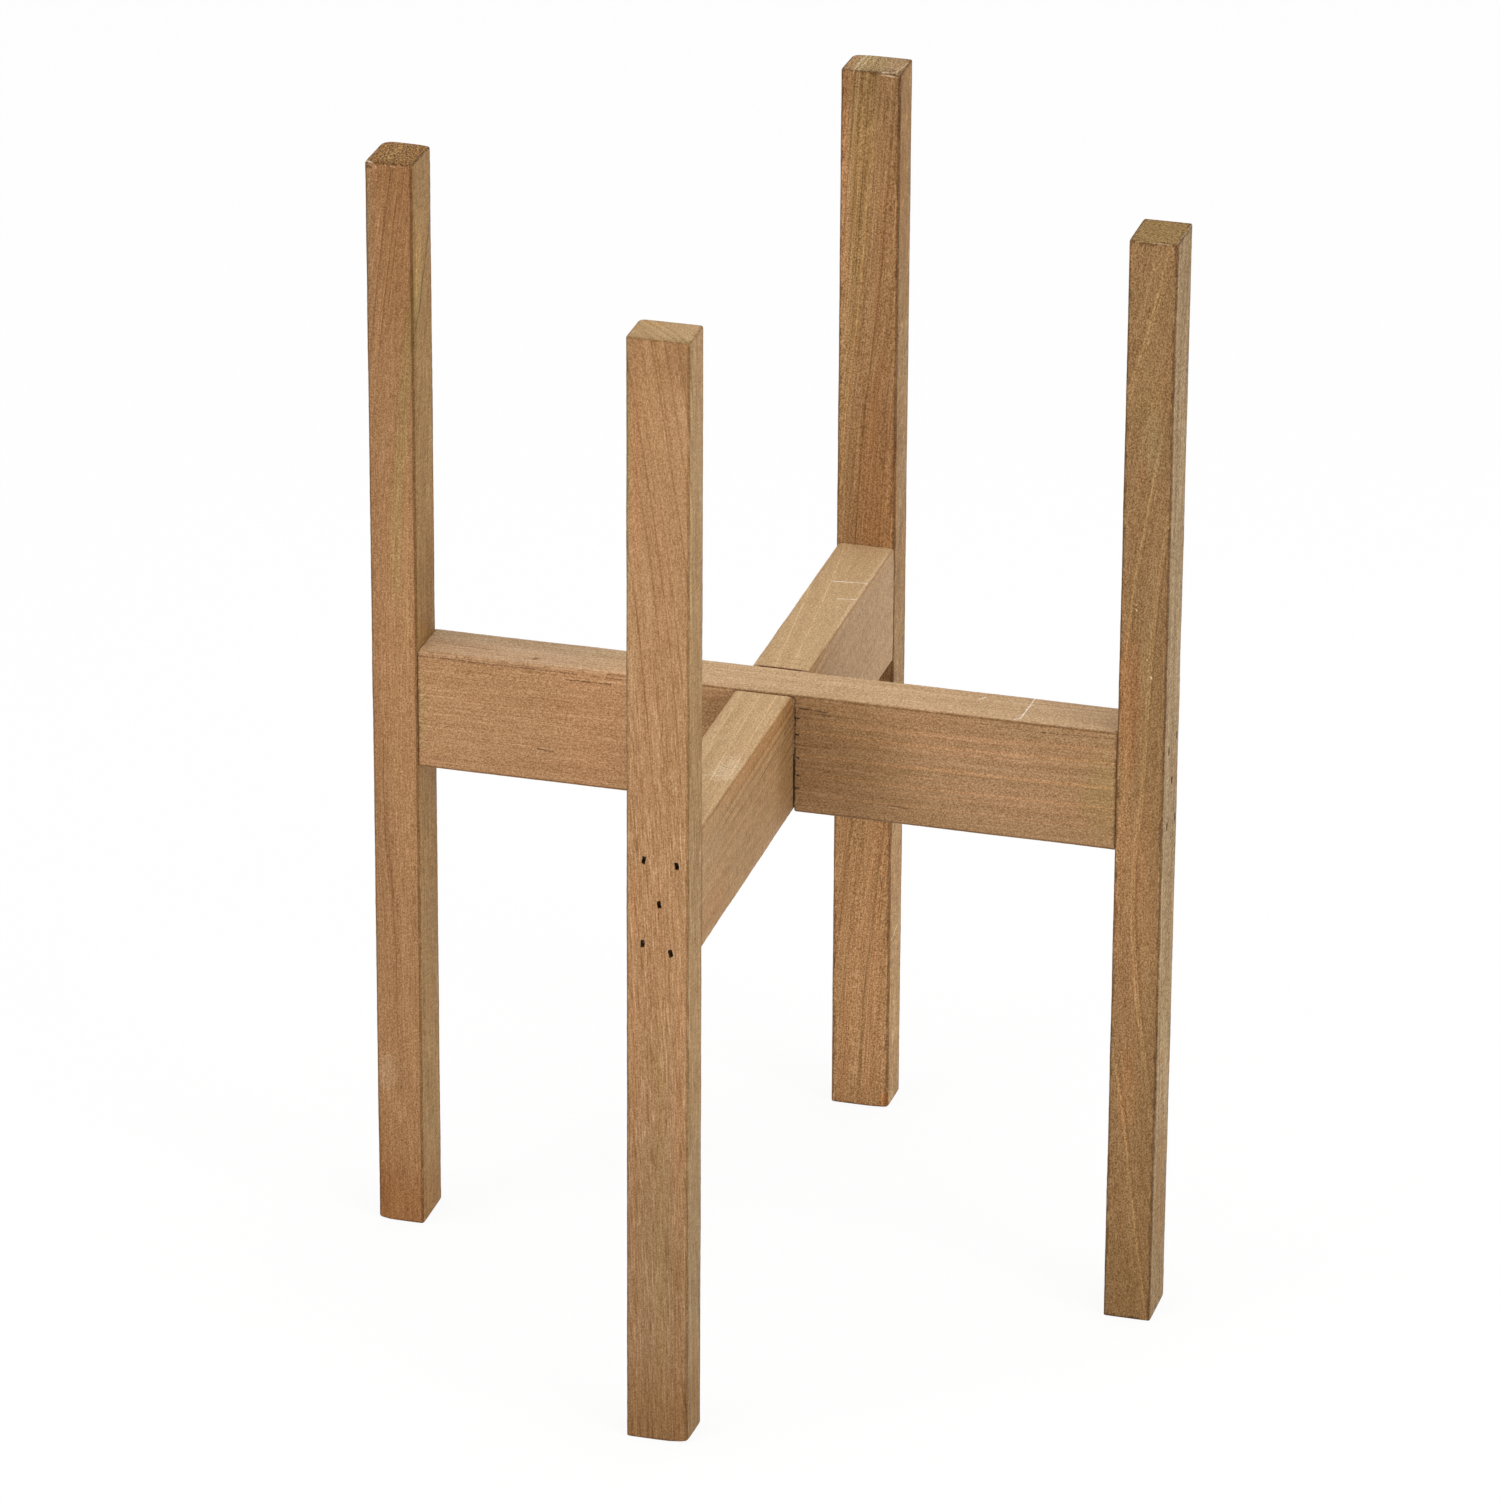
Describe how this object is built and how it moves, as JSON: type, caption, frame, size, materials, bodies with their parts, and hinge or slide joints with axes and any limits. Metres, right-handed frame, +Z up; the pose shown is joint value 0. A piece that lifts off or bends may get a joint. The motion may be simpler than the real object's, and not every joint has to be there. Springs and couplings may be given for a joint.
{
  "type": "plant stand",
  "caption": "Wooden plant stand: square posts nailed to the ends of two rails that cross in a halved joint, so that a pot stands on the rails between the posts.",
  "frame": {"origin": "on the floor, under the middle of the crossing rails", "axes": "+Z up, X along the unbroken rail and Y along the rail under it, with the front post at -Y"},
  "size_m": [0.352, 0.352, 0.5],
  "materials": {
    "timber_brown": "planed softwood under a matt medium brown stain, bare of varnish",
    "timber_tan": "planed softwood under a matt reddish tan stain, bare of varnish",
    "timber_pale": "planed softwood under a matt pale yellowish stain, bare of varnish",
    "nail_steel": "dull bare wire, dark at the bottom of its slot"
  },
  "bodies": {
    "root": {"post_left": "timber_brown", "post_right": "timber_brown", "post_front": "timber_tan", "post_back": "timber_brown", "rail_through": "timber_tan", "rail_cross": "timber_pale", "nails_left": "nail_steel", "nails_right": "nail_steel", "nails_front": "nail_steel", "nails_back": "nail_steel"}
  },
  "joints": []
}
